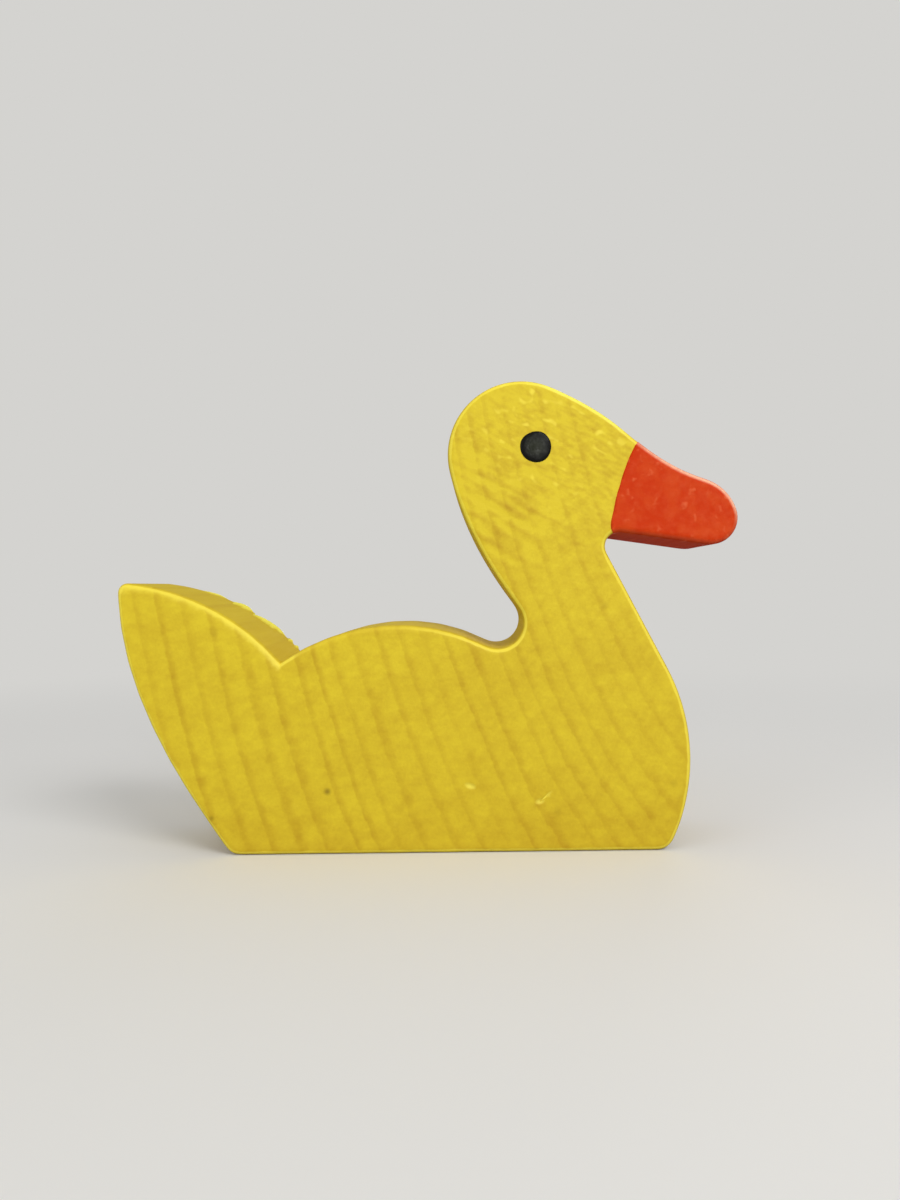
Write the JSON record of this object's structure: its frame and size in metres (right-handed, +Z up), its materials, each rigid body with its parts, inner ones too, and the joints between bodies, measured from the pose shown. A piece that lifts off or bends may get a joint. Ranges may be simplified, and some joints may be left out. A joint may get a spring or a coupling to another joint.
{
  "type": "wooden duck toy",
  "caption": "Flat wooden duck cut from one board, standing on a straight base, stained yellow with a painted beak and eye.",
  "frame": {"origin": "middle of the object's box, on the base that it stands on", "axes": "+X along the body towards the beak, +Y through the board's thickness, +Z up from the base to the crown"},
  "size_m": [0.075, 0.015, 0.0568],
  "materials": {
    "yellow_stain": "translucent yellow stain on end-grain wood, satin",
    "red_paint": "thin orange-red paint on the beak, satin",
    "black_paint": "thick dab of black paint, soft gloss"
  },
  "bodies": {
    "root": {"duck": "yellow_stain"}
  },
  "joints": []
}
